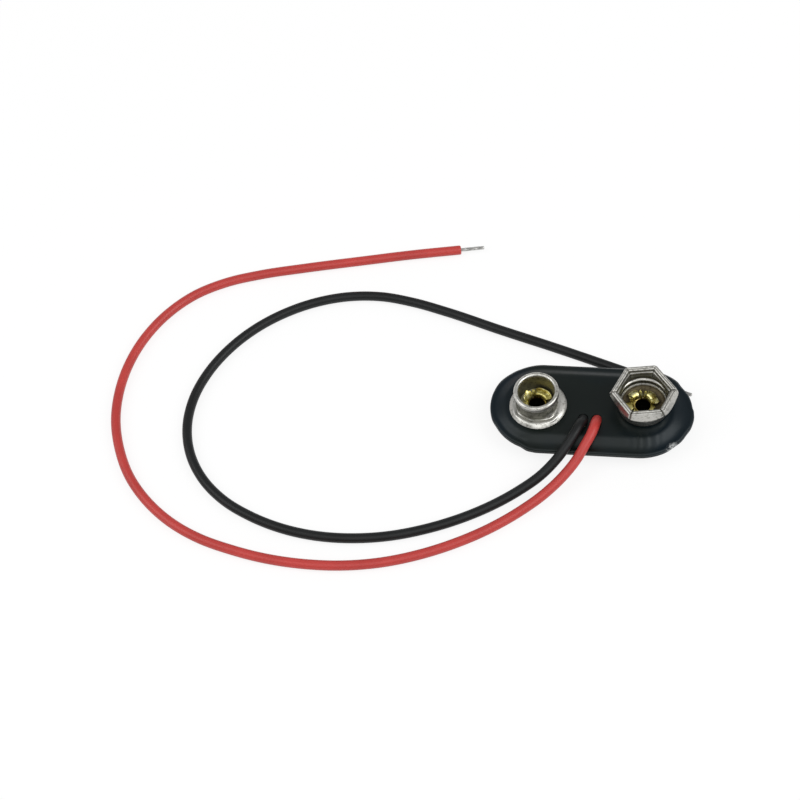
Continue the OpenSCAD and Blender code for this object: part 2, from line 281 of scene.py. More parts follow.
BLACK_ROUTE = np.array([
    [-3.4, -0.26, 1.12], [-3.1, -0.26, 1.12], [-2.4, -0.34, 1.19], [-1.76, -0.56, 1.4],
    [-1.24, -0.91, 1.72], [-0.88, -1.36, 2.13], [-0.71, -1.87, 2.59], [-0.75, -2.38, 3.06],
    [-0.92, -2.94, 3.44], [-1.16, -3.6, 3.66], [-1.5, -4.45, 3.62], [-2.18, -5.65, 3.22],
    [-3.38, -7.4, 2.5], [-5.2, -9.4, 1.75], [-7.8, -11.4, 1.1], [-10.9, -13.4, 0.7],
    [-14.4, -15.3, 0.6], [-18.2, -16.9, 0.6], [-22.3, -18.1, 0.6], [-26.5, -18.7, 0.6],
    [-30.8, -18.7, 0.6], [-35.1, -18, 0.6], [-39.2, -16.6, 0.6], [-42.9, -14.6, 0.6],
    [-46, -11.8, 0.6], [-48.2, -8.3, 0.6], [-49.3, -4.3, 0.6], [-49.2, -0.2, 0.6],
    [-48, 3.8, 0.6], [-45.9, 7.5, 0.6], [-43.1, 10.7, 0.6], [-39.7, 13.3, 0.6],
    [-35.9, 15.2, 0.6], [-31.8, 16.3, 0.6], [-27.6, 16.5, 0.6], [-23.4, 15.8, 0.6],
    [-18.9, 14.5, 0.6], [-12, 12.1, 0.6], [-4.8, 9.7, 0.6], [2.3, 7.2, 0.6], [9.2, 4.7, 0.6]])
LEAD_D, STRAND_D = 1.2, 0.45
STRIP_L, END_R = 3.0, 0.22
print("routes of", len(RED_ROUTE), "and", len(BLACK_ROUTE), "points")


# %% A smooth line through a route
def run_along(line):
    """Distance from the start to each point of a line of points."""
    return np.concatenate([[0], np.cumsum(np.linalg.norm(np.diff(line, axis=0), axis=1))])


def smooth_line(route, spacing, fineness=4000):
    """Points every spacing mm along the cubic that passes through the route's points.
    Between two points it is p0 h00 + m0 h10 + p1 h01 + m1 h11, the Hermite form, with slopes
    m taken over the neighbouring chords."""
    knots = run_along(route)
    slopes = np.gradient(route, knots, axis=0)
    fine = np.linspace(0, knots[-1], fineness)
    i = np.clip(np.searchsorted(knots, fine, side="right") - 1, 0, len(route) - 2)
    h = (knots[i + 1] - knots[i])[:, None]
    t = (fine - knots[i])[:, None] / h
    line = ((2 * t**3 - 3 * t**2 + 1) * route[i] + (t**3 - 2 * t**2 + t) * h * slopes[i]
            + (3 * t**2 - 2 * t**3) * route[i + 1] + (t**3 - t**2) * h * slopes[i + 1])
    run = run_along(line)
    even = np.linspace(0, run[-1], int(run[-1] / spacing) + 1)
    return np.stack([np.interp(even, run, line[:, k]) for k in range(3)], axis=1), run[-1]


def tube_grid(line, radius, sides):
    """A tube round a line: point(i, a) = line(i) + radius(i, a) (cos a side + sin a up), where
    side is level and square to the line. radius may change along it and round it."""
    along = unit(np.gradient(line, axis=0))
    side = unit(np.cross([0, 0, 1.0], along))
    above = np.cross(along, side)
    a = full_turn(sides)[:, None]
    ring = np.cos(a) * side[:, None] + np.sin(a) * above[:, None]
    return line[:, None] + np.broadcast_to(radius, (len(line), sides))[..., None] * ring


def closed_tube(line, radius, sides):
    """The tube's grid with a point in the middle of each end, and its faces."""
    grid = tube_grid(line, radius, sides)
    rows = len(line)
    points = np.concatenate([grid.reshape(-1, 3), line[:1], line[-1:]])
    j = np.arange(sides)
    first = np.stack([np.full(sides, rows * sides), (j + 1) % sides, j], axis=1)
    last = (rows - 1) * sides
    final = np.stack([np.full(sides, rows * sides + 1), last + j, last + (j + 1) % sides], axis=1)
    return points, [grid_faces(rows, sides, wrap_cols=True), first, final]


# %% [markdown]
# ## Insulation
#
# The insulation is soft extruded vinyl: satin, a little uneven in colour, with very faint lines
# along it from the die. The lines come from a noise on the lead's own map, squeezed round the lead
# and stretched along it.

# %% Insulation finishes
def insulation(name, deep, pale, roughness, shine):
    """Extruded vinyl in a colour between deep and pale, with drawn lines along the lead."""
    finish, tree, shader = new_finish(name, pale, roughness)
    shader.inputs["Specular IOR Level"].default_value = shine
    along = coordinates(tree, "UV", scale=(1, 24, 1))
    lines = noise(tree, along, 1.5, detail=4)
    cloud = noise(tree, coordinates(tree), 260, detail=2)
    mixed = maths(tree, "MULTIPLY", lines, cloud)
    paint(tree, shader, ramp(tree, mixed, [(0.1, deep), (0.45, pale)]),
          remap(tree, lines, roughness - 0.08, roughness + 0.1))
    bump(tree, shader, lines, 0.25, 0.00002)
    return finish


red_vinyl = insulation("red insulation", deep=(0.46, 0.038, 0.032), pale=(0.585, 0.055, 0.047),
                       roughness=0.4, shine=0.5)
black_vinyl = insulation("black insulation", deep=(0.005, 0.006, 0.006),
                         pale=(0.01, 0.011, 0.012), roughness=0.42, shine=0.32)


# %% [markdown]
# ## Bare ends
#
# At the free end 3 mm of the insulation is stripped. What shows is a bundle of seven fine copper
# strands, twisted and dipped in tin, which fills the grooves but leaves six low ridges that wind
# round the bundle, once in 7 mm.

# %% Tinned strand
def tinned_finish():
    """Dull tin over copper, with bright and grey patches."""
    finish, tree, shader = new_finish("tinned copper", (0.6, 0.6, 0.58), 0.34, 1.0)
    patches = noise(tree, coordinates(tree), 1500, detail=4)
    grey = ramp(tree, patches, [(0.3, (0.3, 0.3, 0.29)), (0.7, (0.66, 0.65, 0.63))])
    paint(tree, shader, grey, remap(tree, patches, 0.45, 0.25))
    bump(tree, shader, patches, 0.3, 0.00002)
    return finish


TWIST_L, RIDGE = 7, 0.07
HIDDEN_L, BLUNT_L = 0.6, 0.12
STRAND_SIDES = 48


def strand_part(start, direction, length):
    """A twisted bundle: its radius is r (1 - RIDGE + RIDGE cos(6 (a - twist))). It starts
    HIDDEN_L inside the insulation, and over its last BLUNT_L it closes to half its radius."""
    s = np.concatenate([np.linspace(-HIDDEN_L, length - BLUNT_L, 60),
                        length - BLUNT_L * (1 - np.linspace(0.1, 1, 8)**0.5)])
    line = start + s[:, None] * unit(direction)
    twist = s[:, None] * 2 * np.pi / TWIST_L
    ridge = 1 - RIDGE + RIDGE * np.cos(6 * (full_turn(STRAND_SIDES) - twist))
    left = np.clip((length - s[:, None]) / BLUNT_L, 0, 1)
    blunt = np.sqrt(1 - (1 - left)**2 * 0.75)
    return closed_tube(line, STRAND_D / 2 * ridge * blunt, STRAND_SIDES)


tinned = tinned_finish()


# %% Make both leads
LEAD_SIDES, LEAD_STEP = 28, 0.3
MAP_SPAN = 10


def make_lead(colour, route, finish):
    """The insulated tube and its bare end. The cut ends of the insulation are round: END_R (1 - sin
    t) from the end the radius is LEAD_D / 2 less END_R (1 - cos t), for t from 0 to 90 degrees."""
    middle, length = smooth_line(route, LEAD_STEP)
    t = np.radians([0, 20, 40, 60, 75, 90])
    inset = END_R * (1 - np.sin(t))[:, None]
    first = middle[0] + unit(middle[1] - middle[0]) * inset[::-1]
    last = middle[-1] - unit(middle[-1] - middle[-2]) * inset
    line = np.concatenate([first, middle[1:-1], last])
    radius = np.full((len(line), 1), LEAD_D / 2)
    radius[-len(t):, 0] -= END_R * (1 - np.cos(t))
    radius[:len(t)] = radius[-len(t):][::-1]
    share = np.arange(LEAD_SIDES)[None, :] / LEAD_SIDES
    uv = np.stack(np.broadcast_arrays(run_along(line)[:, None] / MAP_SPAN, share), axis=-1)
    uv = np.concatenate([uv.reshape(-1, 2), [[0, 0], [1, 0]]])
    lead = make_piece(f"{colour}_wire", [closed_tube(line, radius, LEAD_SIDES)], finish,
                      f"{colour}_lead", uv=uv)
    strand = strand_part(route[-1], route[-1] - route[-2], STRIP_L)
    tip = make_piece(f"{colour}_bare_end", [strand], tinned, f"{colour}_tip",
                     sharp=60)
    print(colour, "lead runs", round(length, 1), "mm")


make_lead("red", RED_ROUTE, red_vinyl)
make_lead("black", BLACK_ROUTE, black_vinyl)

# %% [markdown]
# ## The cover's plan
#
# The cover is two sheets of soft vinyl, cut as a long oval and welded round the edge. Everything on
# it is measured from a straight spine: u is the distance from the spine, so the edge is where u is
# half the width. The sheet has three openings, the mouth of the leads and a hole for each eyelet,
# so no single grid covers it. Its plan is filled with rings of points instead, which are joined
# into triangles, and the height is then a formula in x and y.

# %% Sizes of the cover, from the part
def size_of(node):
    """Lowest and highest corner of a node, in millimetres."""
    low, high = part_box(node)
    return np.array(low) / MM, np.array(high) / MM


def middle_of(node):
    return sum(size_of(node)) / 2


front_low, front_high = size_of("front_cover")
board_low, board_high = size_of("insulator_board")
EDGE_U = (front_high[1] - front_low[1]) / 2
SPINE = (front_high[0] - front_low[0]) / 2 - EDGE_U
BOARD_U = (board_high[1] - board_low[1]) / 2
POCKET_U = BOARD_U + 0.05
SEAT_Z = front_high[2]
FRONT_Z = board_high[2]
BOARD_Z = board_low[2]
WELD_Z = front_low[2]
RIM_T, EDGE_R = 0.4, 0.3
PRESS_W, PRESS_D = 0.42, 0.3
BEAD_W, GROOVE_D = 0.5, 0.045
STUD_AT = middle_of("stud_contact")
SOCKET_AT = middle_of("socket_contact")
HOLE_R = 1.3
LEAD_HOLES = np.array([[[0.885, -1.87], [0.83, -2.6]], [[-0.705, -1.86], [-0.765, -2.55]]])
LEAD_HOLE_R = 0.62
print("cover", 2 * (SPINE + EDGE_U), "x", 2 * EDGE_U, "mm; seat at", SEAT_Z)


# %% Rings of points and triangles between them
def from_spine(xy):
    """u, the distance of points from the spine."""
    beyond = np.maximum(np.abs(xy[..., 0]) - SPINE, 0)
    return np.hypot(beyond, xy[..., 1])


def racetrack_ring(u, spacing):
    """Points along the outline at distance u from the spine."""
    straight = np.arange(-SPINE, SPINE, spacing)
    turn = np.arange(-np.pi / 2, np.pi / 2, spacing / max(u, spacing))
    east = np.stack([SPINE + u * np.cos(turn), u * np.sin(turn)], axis=1)
    north = np.stack([-straight, np.full_like(straight, u)], axis=1)
    return np.concatenate([east, north, -east, -north])


def around(centre, r, a):
    """x and y of points at distance r from a centre, in the directions a."""
    return centre[0] + r * np.cos(a), centre[1] + r * np.sin(a)


def circle_ring(centre, r, count):
    return np.stack(around(centre, r, full_turn(count)), axis=1)


def slot_ring(hole, out, spacing):
    """Points round a slot with round ends, grown outwards by out."""
    a, b = hole
    r = LEAD_HOLE_R + out
    reach = np.linalg.norm(b - a)
    along = (b - a) / reach
    across = np.array([-along[1], along[0]])
    turn = np.linspace(-np.pi / 2, np.pi / 2, int(np.pi * r / spacing))
    end = r * (np.cos(turn)[:, None] * along + np.sin(turn)[:, None] * across)
    side = np.linspace(0, 1, int(reach / spacing) + 2)[1:-1, None]
    return np.concatenate([b + end, b + (a - b) * side + r * across,
                           a - end, a + (b - a) * side - r * across])


def slot_distance(xy, hole):
    """Signed distance from a slot's outline: the distance from its middle line, less its radius."""
    a, b = hole
    share = np.clip((xy - a) @ (b - a) / ((b - a) @ (b - a)), 0, 1)
    return np.linalg.norm(xy - a - share[:, None] * (b - a), axis=1) - LEAD_HOLE_R


def lip_distance(xy):
    """Distance from the nearer of the two holes that the leads come out of."""
    return np.minimum(*[slot_distance(xy, hole) for hole in LEAD_HOLES])


def axis_distance(xy, centre):
    """Distance from the upright axis through a centre."""
    return np.hypot(*(xy - centre[:2]).T)


def plan_triangles(loops, loose, keep):
    """Delaunay triangles over loose points, whose edges keep to the closed loops; keep tells
    which triangles stay, by their middles."""
    xy = np.concatenate(loops + loose)
    fixed, start = [], 0
    for loop in loops:
        i = np.arange(len(loop))
        fixed.append(np.stack([i, (i + 1) % len(loop)], axis=1) + start)
        start += len(loop)
    points, edges = [Vector(p) for p in xy.tolist()], np.concatenate(fixed).tolist()
    out = delaunay_2d_cdt(points, edges, [], 0, 1e-6)
    xy = np.array([tuple(v) for v in out[0]])
    tris = np.array([f for f in out[2] if len(f) == 3])
    a, b, c = xy[tris[:, 0]], xy[tris[:, 1]], xy[tris[:, 2]]
    flip = (b - a)[:, 0] * (c - a)[:, 1] - (b - a)[:, 1] * (c - a)[:, 0] < 0
    tris[flip] = tris[flip][:, ::-1]
    return xy, tris[keep((a + b + c) / 3)]


def slab(xy, tris, low, high):
    """A closed solid over a plan: heights low and high at each point, and walls at its edges.
    A wall stands on each directed edge that only one triangle has."""
    edges = np.concatenate([tris[:, [0, 1]], tris[:, [1, 2]], tris[:, [2, 0]]])
    key = edges.min(axis=1) * len(xy) + edges.max(axis=1)
    _, where, times = np.unique(key, return_index=True, return_counts=True)
    rim = edges[where[times == 1]]
    top = np.column_stack([xy, high])
    bottom = np.column_stack([xy, low])
    n = len(xy)
    walls = np.stack([rim[:, 0] + n, rim[:, 1] + n, rim[:, 1], rim[:, 0]], axis=1)
    return np.concatenate([top, bottom]), [tris, tris[:, ::-1] + n, walls]


# %% [markdown]
# ## The front sheet
#
# Seen close, the vinyl lies flat on the board, rolls over the board's edge in a soft shoulder, dips
# into a groove and ends in a thin bead where the two sheets are welded. In front the bead's edge is
# round, and behind it is pressed down to a slope, which shows as a thin light line. The sheet isn't
# perfect: it is puckered in front of the socket, sinks a little round each contact, swells in slow
# waves, and was cut unevenly. All of that is added to the height or the plan as smooth terms.

# %% Height of the front sheet
def eased(x):
    """A smooth step from 0 to 1."""
    x = np.clip(x, 0, 1)
    return (1 - np.cos(np.pi * x)) / 2


def ripple(xy, size, count, seed):
    """Slow waves: the mean of count sine waves of about that length, in random directions."""
    draw = np.random.default_rng(seed)
    way = draw.uniform(0, 2 * np.pi, count)
    length = size * draw.uniform(0.6, 1.7, count)
    phase = draw.uniform(0, 2 * np.pi, count)
    arg = (xy[:, :1] * np.cos(way) + xy[:, 1:] * np.sin(way)) * 2 * np.pi / length + phase
    return np.sin(arg).mean(axis=1)


def hump(x, centre, width):
    """A smooth hump, exp(-((x - centre) / width)^2): 1 at the centre and 0 far from it."""
    return np.exp(-(((x - centre) / width) ** 2))


def round_off(u):
    """How far a face falls at the round edge: 0.8 of a quarter circle."""
    over = np.clip((u - EDGE_U + EDGE_R) / EDGE_R, 0, 1)
    return 0.8 * EDGE_R * (1 - np.sqrt(1 - over**2))


PUCKER_AT, PUCKER_REACH, PUCKER_L, PUCKER_H = (6.6, -4.3), 1.6, 0.9, 0.05
SINK_D, SINK_W, STUD_SINK_R, SOCKET_SINK_R = 0.07, 0.45, 3.55, 2.95
SWELL_H, WAVE_H = 0.035, 0.012
PRESS_SOFT = 0.15
SLOPE_U, SLOPE_END_U, SOFT_END_U = 3.4, 5.0, 5.4


def front_top(xy):
    """Height of the vinyl's face: flat, shoulder, groove, bead and an edge that is round in front
    and pressed to a slope behind, plus its flaws."""
    u = from_spine(xy)
    groove_u = EDGE_U - BEAD_W
    groove_z = WELD_Z + RIM_T - GROOVE_D
    z = SEAT_Z + (groove_z - SEAT_Z) * eased((u - BOARD_U) / (groove_u - BOARD_U))
    z += GROOVE_D * eased((u - groove_u) / (EDGE_U - EDGE_R - groove_u))
    pressed = np.clip((u - EDGE_U + PRESS_W) / PRESS_W, 0, 1)
    pressed = np.hypot(pressed, PRESS_SOFT) - PRESS_SOFT
    behind = eased((xy[:, 1] / np.maximum(u, 1) - 0.2) / 0.5)
    z -= (1 - behind) * round_off(u) + behind * PRESS_D * pressed / 0.86
    slope = eased((u - SLOPE_U) / 0.8) * (1 - eased((u - SLOPE_END_U) / 0.6))
    soft = 1 - eased((u - SOFT_END_U) / 0.5)
    crossing = xy[:, 0] + 0.12 * xy[:, 1]
    pucker = np.sin(crossing * 2 * np.pi / PUCKER_L + 0.6 * np.sin(xy[:, 0] * 2.1))
    z += PUCKER_H * pucker * slope * hump(axis_distance(xy, PUCKER_AT), 0, PUCKER_REACH)
    swell = ripple(xy, size=5.5, count=9, seed=3)
    z += (SWELL_H * swell + WAVE_H * ripple(xy, size=1.7, count=14, seed=4)) * soft
    for centre, flange in ((STUD_AT, STUD_SINK_R), (SOCKET_AT, SOCKET_SINK_R)):
        z -= SINK_D * hump(axis_distance(xy, centre), flange, SINK_W) * soft
    return z - 0.03 * np.exp(-np.maximum(lip_distance(xy), 0) / 0.22)


LIP_RISE, LIP_REACH = 0.5, 0.45
PART_W = 0.06


def weld_turn(u):
    """The sheets part a little at the edge: over the last PART_W each turns away by as much."""
    return PART_W * np.clip((u - EDGE_U + PART_W) / PART_W, 0, 1)


def past_board(u):
    """0 over the board's pocket and 1 where the sheets meet, with a straight slope between."""
    return np.clip((u - POCKET_U) / 0.6, 0, 1)


def front_under(xy):
    """Height of the sheet's inner side: on the board, then down to the weld. Each lead presses
    the sheet up from below where it comes out, to a thin lip."""
    u = from_spine(xy)
    z = FRONT_Z + (WELD_Z - FRONT_Z) * past_board(u)
    z += LIP_RISE * hump(np.maximum(lip_distance(xy), 0), 0, LIP_REACH)
    return z + weld_turn(u)


CUT_FROM_U, CUT_FADE = 4.6, 1.4
# How far the cut runs inside the true outline, by the angle round the nearer end of the spine.
# The left front was cut nearly straight, with a corner; the front and the right end are full.
CUT = np.array([
    [-180, 0.0], [-162, 0.02], [-148, 0.15], [-112, 0.15], [-99, -0.14], [-90, -0.2], [-56, -0.2],
    [-46, -0.12], [-37, -0.2], [-28, -0.18], [-15, -0.32], [-5, -0.36], [2, -0.3], [9, -0.16],
    [23, -0.15], [30, -0.08], [38, -0.03], [47, -0.15], [70, -0.06], [90, 0.0], [116, 0.06],
    [128, 0.02], [148, -0.08], [164, -0.02], [180, 0.0]])


def uneven_cut(xy):
    """The plan as it was cut: each point near the edge is drawn in or out, square to the edge, by
    the eased steps between the marks of CUT."""
    u = from_spine(xy)
    out = np.stack([xy[:, 0] - np.clip(xy[:, 0], -SPINE, SPINE), xy[:, 1]], axis=1)
    a = np.degrees(np.arctan2(out[:, 1], out[:, 0]))
    i = np.clip(np.searchsorted(CUT[:, 0], a) - 1, 0, len(CUT) - 2)
    share = eased((a - CUT[i, 0]) / (CUT[i + 1, 0] - CUT[i, 0]))
    pull = CUT[i, 1] + (CUT[i + 1, 1] - CUT[i, 1]) * share
    pull *= eased((u - CUT_FROM_U) / CUT_FADE)
    return xy - out / np.maximum(u, 0.5)[:, None] * pull[:, None]


# %% Vinyl finish
def vinyl_finish():
    """Soft black sheet: navy towards the ends and green between, with a faint orange peel and
    smears of polish. One corner is scuffed pale, round the point scuff_at."""
    finish, tree, shader = new_finish("black vinyl sheet", (0.005, 0.007, 0.008), 0.36)
    shader.inputs["Specular IOR Level"].default_value = 0.3
    shader.inputs["Specular Tint"].default_value = (0.94, 1, 1, 1)
    where = coordinates(tree)
    cloud = noise(tree, where, 160, detail=4)
    peel = noise(tree, where, 5200, detail=2)
    smear = noise(tree, coordinates(tree, scale=(1, 0.35, 1)), 900, detail=6, roughness=0.65)
    across = maths(tree, "ABSOLUTE", split(tree, where)["X"])
    blue = maths(tree, "ADD", cloud, remap(tree, across, -0.2, 0.35, 0.006, 0.0115))
    tint = ramp(tree, blue, [(0.3, (0.004, 0.0068, 0.006)), (0.75, (0.002, 0.0072, 0.012))])
    scuff_at, pale = (0.01025, -0.0052, 0.002), (0.6, 0.61, 0.6)
    close = remap(tree, vectors(tree, "DISTANCE", where, scuff_at), 1.0, 0.0, 0.0004, 0.0011)
    specks = noise(tree, where, 2600, detail=4)
    spotty = ramp(tree, specks, [(0.44, (0, 0, 0)), (0.53, (1, 1, 1))])
    share = maths(tree, "MULTIPLY", close, spotty)
    scuffed = vectors(tree, "MULTIPLY_ADD", share, pale, tint)
    paint(tree, shader, scuffed, remap(tree, smear, 0.26, 0.46))
    bump(tree, shader, maths(tree, "ADD", smear, peel), 0.3, 0.000008)
    return finish


vinyl = vinyl_finish()

# %% [markdown]
# The edge and the three openings are closed loops, which the triangles must keep to. The space
# between them is filled with loose points: rings that follow the edge, close together where the
# sheet bends, rings round each opening, and a plain net of points in the flat middle.

# %% Points over a sheet
SPACING, FINE = 0.17, 0.08


def clear_of_openings(xy, gap):
    """True for points that lie more than gap outside every opening."""
    clear = lip_distance(xy) > gap
    for centre in (STUD_AT, SOCKET_AT):
        clear &= axis_distance(xy, centre) > HOLE_R + gap
    return clear


def sheet_points(inner_u, step):
    """Loose points: rings from the round edge inwards to inner_u, and a net of points inside it."""
    edge = EDGE_U - EDGE_R * (1 - np.sin(np.radians([0, 20, 40, 60, 75, 85])))
    rings = np.concatenate([np.arange(inner_u, EDGE_U - EDGE_R - 0.05, step), edge])
    x, y = np.meshgrid(np.arange(-SPINE - inner_u, SPINE + inner_u, SPACING),
                       np.arange(-inner_u, inner_u, SPACING))
    net = np.stack([x.ravel(), y.ravel()], axis=1)
    net = net[from_spine(net) < inner_u - SPACING / 2]
    return [racetrack_ring(u, SPACING) for u in rings] + [net]


# %% Make the front sheet
def on_front(xy):
    """True where the sheet is: inside the edge and outside the three openings."""
    return (from_spine(xy) < EDGE_U) & clear_of_openings(xy, 0)


loops = [racetrack_ring(EDGE_U, SPACING)]
loops += [slot_ring(hole, 0, FINE) for hole in LEAD_HOLES]
loops += [circle_ring(centre, HOLE_R, 40) for centre in (STUD_AT, SOCKET_AT)]
loose = np.concatenate(sheet_points(inner_u=3.3, step=0.11))
loose = [loose[clear_of_openings(loose, 0.2)]]
for out in (0.02, 0.05, 0.09, 0.15):
    rings = np.concatenate([slot_ring(hole, out, FINE) for hole in LEAD_HOLES])
    loose.append(rings[clear_of_openings(rings, out - 0.005)])
plan, triangles = plan_triangles(loops, loose, on_front)
make_piece("front_sheet", [slab(uneven_cut(plan), triangles, front_under(plan), front_top(plan))],
           vinyl, "front_cover", sharp=40)

# %% [markdown]
# ## The back sheet
#
# Behind, the same vinyl is drawn over the heads of the two eyelets. It is flat there, which is what
# the snap lies on, and rises towards the weld in a soft step. The sheet is thin, so the round heads
# and the strip of board show through as faint steps.

# %% Make the back sheet
FLAT_U, RISE_U, SOFT_BACK_U = 3.39, BOARD_U + 1, 5.2
BACK_T = 0.5
HEAD_R, DRAWN_IN = 2.45, 0.09
BACK_GROOVE_D, BACK_GROOVE_W = 0.05, 0.16


def back_under(xy):
    """Height of the outer face: flat, then risen to the weld, with a round edge. The heads press
    it flat, and between and round them it is drawn in by a few hundredths."""
    u = from_spine(xy)
    rim_z = WELD_Z - RIM_T
    z = rim_z * eased((u - FLAT_U) / (RISE_U - FLAT_U)) + round_off(u)
    soft = 1 - eased((u - SOFT_BACK_U) / 0.5)
    r = np.minimum(axis_distance(xy, STUD_AT), axis_distance(xy, SOCKET_AT))
    free = eased((r - HEAD_R) / 0.5)
    z += (DRAWN_IN + 0.03 * ripple(xy, size=4.5, count=9, seed=11)) * free * soft
    return z + BACK_GROOVE_D * hump(u, RISE_U + 0.1, BACK_GROOVE_W) * (u > RISE_U - 0.4)


def back_inside(xy):
    """Height of the inner face: the floor under the heads, up past the board, then the weld."""
    u = from_spine(xy)
    z = BACK_T + (BOARD_Z - BACK_T) * eased((u - FLAT_U) / (POCKET_U - FLAT_U))
    return z + (WELD_Z - BOARD_Z) * past_board(u) - weld_turn(u)


plan, triangles = plan_triangles([racetrack_ring(EDGE_U, SPACING)],
                                 sheet_points(inner_u=2.2, step=0.13),
                                 lambda xy: from_spine(xy) < EDGE_U)
make_piece("back_sheet", [slab(uneven_cut(plan), triangles, back_under(plan), back_inside(plan))],
           vinyl, "back_cover", sharp=40)

# %% [markdown]
# ## Board and strands
#
# These stay as the part's own solids, because their shape is right and they only show through the
# mouth. The board is pressed fibre: brown, dull, with short darker fibres.

# %% Finishes on the part's own solids
def fibre_finish():
    """Pressed fibre board, its fibres a noise stretched along the board."""
    finish, tree, shader = new_finish("fibre board", (0.3, 0.17, 0.09), 0.75)
    fibres = noise(tree, coordinates(tree, scale=(1, 5, 5)), 900, detail=5)
    brown = ramp(tree, fibres, [(0.3, (0.2, 0.105, 0.055)), (0.7, (0.38, 0.23, 0.13))])
    tree.links.new(brown, shader.inputs["Base Color"])
    bump(tree, shader, fibres, 0.4, 0.00003)
    return finish


def dress(node, finish):
    """Gives one of the part's own solids a finish."""
    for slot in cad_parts[node].material_slots:
        slot.material = finish
    print(node, "keeps its solid, in", finish.name)


dress("insulator_board", fibre_finish())
dress("red_strand", tinned)
dress("black_strand", tinned)

# %% [markdown]
# ## Nickel
#
# Both contacts are drawn from thin brass sheet and plated with nickel, a warm grey. Drawing leaves
# fine lines round them, and handling leaves small rubbed patches and dark pits. The lines are a
# noise that reads the distance from the contact's own axis, so the coordinates are first moved to
# that axis. The hollows get painted shade, in bands by height and in rings by distance from the
# axis: the stud's bore and its neck under the lip, the cup's floor and the leaves' inner walls. The
# unshaded bands left between them on the socket are painted highlight lines. Where the painted
# shade is darker, the nickel is also rougher.

# %% Nickel finish
def nickel_finish(name, centre, tones, bands, rings, skirt=0.0):
    """Plated sheet with drawing lines round the axis of one contact, and painted shade. bands gives
    the painted shade by the height above the seat, rings by the distance from the axis, both in mm,
    and the lighter of the two counts. Below SKIRT_Z the rings are read skirt mm further out, which
    leaves the outside of a cup without painted shade."""
    finish, tree, shader = new_finish(name, (0.6, 0.59, 0.56), 0.3, 1.0)
    where = coordinates(tree, centre=tuple(centre * MM))
    x, y, height = split(tree, where)
    flat = add_node(tree, "ShaderNodeCombineXYZ", {"X": x, "Y": y}).outputs[0]
    far = vectors(tree, "LENGTH", flat)
    unrolled = add_node(tree, "ShaderNodeCombineXYZ", {"X": far, "Y": height}).outputs[0]
    lines = noise(tree, unrolled, 9000, detail=2)
    rubbed = noise(tree, where, 900, detail=5, roughness=0.6)
    cloud = noise(tree, where, 500, detail=4)
    pitted = noise(tree, where, 2400, detail=4, roughness=0.7)
    dents = noise(tree, where, 1100, detail=3)
    tone = ramp(tree, cloud, list(zip((0.3, 0.7), tones)))
    pits = ramp(tree, pitted, [(0.36, (0.52, 0.52, 0.5)), (0.49, UNDARKENED)])
    below = maths(tree, "LESS_THAN", height, SKIRT_Z * MM)
    out = maths(tree, "MULTIPLY_ADD", below, skirt * MM, far)
    shades = [ramp(tree, maths(tree, "DIVIDE", value, SHADE_SPAN * MM),
                   [(mm / SHADE_SPAN, colour) for mm, colour in stops])
              for value, stops in ((height, bands), (out, rings))]
    # painted shade: the lighter of the two ramps, multiplied into the colour below
    shade = vectors(tree, "MAXIMUM", *shades)
    tone = vectors(tree, "MULTIPLY", vectors(tree, "MULTIPLY", tone, pits), shade)
    gloss = remap(tree, rubbed, 0.5, 0.7)
    paint(tree, shader, tone, maths(tree, "MULTIPLY_ADD", shade, -0.25, gloss))
    bump(tree, shader, maths(tree, "MULTIPLY_ADD", dents, 6.0, lines), 0.35, 0.0000015)
    return finish


SKIRT_Z, SHADE_SPAN = 1.3, 4
STUD_SEAT, SOCKET_SEAT = [np.array([*at[:2], SEAT_Z]) for at in (STUD_AT, SOCKET_AT)]
# Colours of painted shade that the nickel is multiplied by; the white stop leaves it unshaded
BLACK, UNDARKENED, WALL_SHADE = (0, 0, 0), (1, 1, 1), (0.4, 0.4, 0.36)
BORE_SHADE, WAIST_SHADE, CUP_FLOOR_SHADE = (0.5, 0.49, 0.38), (0.33, 0.33, 0.3), (0.24, 0.2, 0.13)
# The stud: painted shade in its bore and on its neck under the lip
stud_nickel = nickel_finish(
    "nickel of the stud", STUD_SEAT, tones=[(0.58, 0.575, 0.54), (0.82, 0.81, 0.76)],
    bands=[(2.45, BLACK), (2.75, UNDARKENED)],
    rings=[(2.2, BORE_SHADE), (2.27, WAIST_SHADE), (2.5, WAIST_SHADE), (2.6, UNDARKENED)])
# The socket: painted shade on the cup's floor and walls and the leaves' inner walls, in bands, with
# unshaded bands between as painted highlight lines
socket_nickel = nickel_finish(
    "nickel of the socket", SOCKET_SEAT, tones=[(0.42, 0.415, 0.39), (0.62, 0.61, 0.57)],
    bands=[(0.6, CUP_FLOOR_SHADE), (0.68, UNDARKENED), (0.79, UNDARKENED), (0.86, WALL_SHADE), (1.15, WALL_SHADE), (1.25, UNDARKENED),
           (1.45, UNDARKENED), (1.6, WALL_SHADE), (2.85, WALL_SHADE), (2.92, UNDARKENED), (3.05, UNDARKENED), (3.1, WALL_SHADE),
           (3.2, WALL_SHADE), (3.3, UNDARKENED)],
    rings=[(3.2, BLACK), (3.3, UNDARKENED)], skirt=0.35)

# %% [markdown]
# ## The stud
#
# The stud is one drawn cup with its mouth rolled outwards into a smooth lip, and a domed
# flange. It is turned round its axis, so it is one closed profile carried round a circle. Drawing
# is never quite true: the flange's edge is a little uneven, and the foot of the neck is puckered.

# %% Stud
def arc_points(centre, r, first, last, count):
    """Points of an arc in a profile, angles in degrees."""
    return np.stack(around(centre, r, np.radians(np.linspace(first, last, count))), axis=1)


